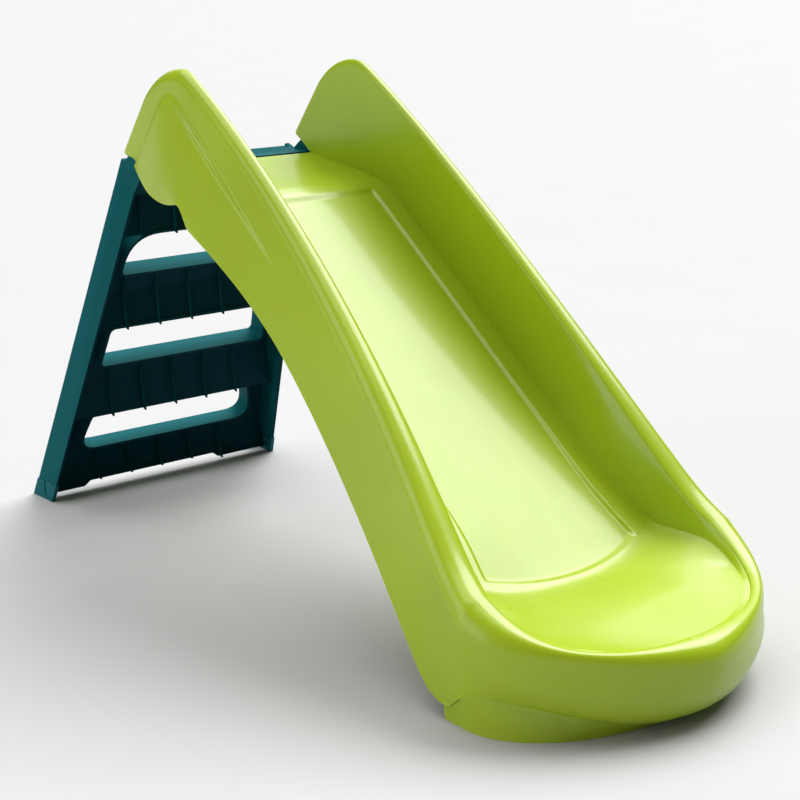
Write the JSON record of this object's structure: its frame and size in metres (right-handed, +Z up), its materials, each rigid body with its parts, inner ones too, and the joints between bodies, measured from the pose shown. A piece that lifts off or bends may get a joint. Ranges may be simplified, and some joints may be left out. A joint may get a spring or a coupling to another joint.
{
  "type": "toddler slide",
  "caption": "Folding toddler slide: moulded chute with rounded side walls and a wide nose, hinged to a moulded tray ladder that folds under the bed.",
  "frame": {"origin": "on the floor, at the middle of the slide's overall length and width", "axes": "+X across the slide, +Y along it from the nose towards the ladder, +Z up"},
  "size_m": [0.4576, 1.2178, 0.6802],
  "materials": {
    "chute_lime": "smooth gloss moulding",
    "ladder_teal": "smooth satin-gloss moulding",
    "cap_teal": "satin",
    "pin_grey": "as moulded"
  },
  "bodies": {
    "chute": {"chute_shell": "chute_lime", "pivot_boss_left": "chute_lime", "pivot_boss_right": "chute_lime", "hinge_pin_left": "pin_grey", "hinge_pin_right": "pin_grey"},
    "ladder": {"ladder_frame": "ladder_teal", "foot_cap_left": "cap_teal", "foot_cap_right": "cap_teal"}
  },
  "joints": [
    {"name": "ladder_fold", "type": "hinge", "parent": "chute", "child": "ladder", "pos_m": [0, 0.2491, 0.585], "axis": [-1, 0, 0], "range_deg": [0, 76]}
  ]
}
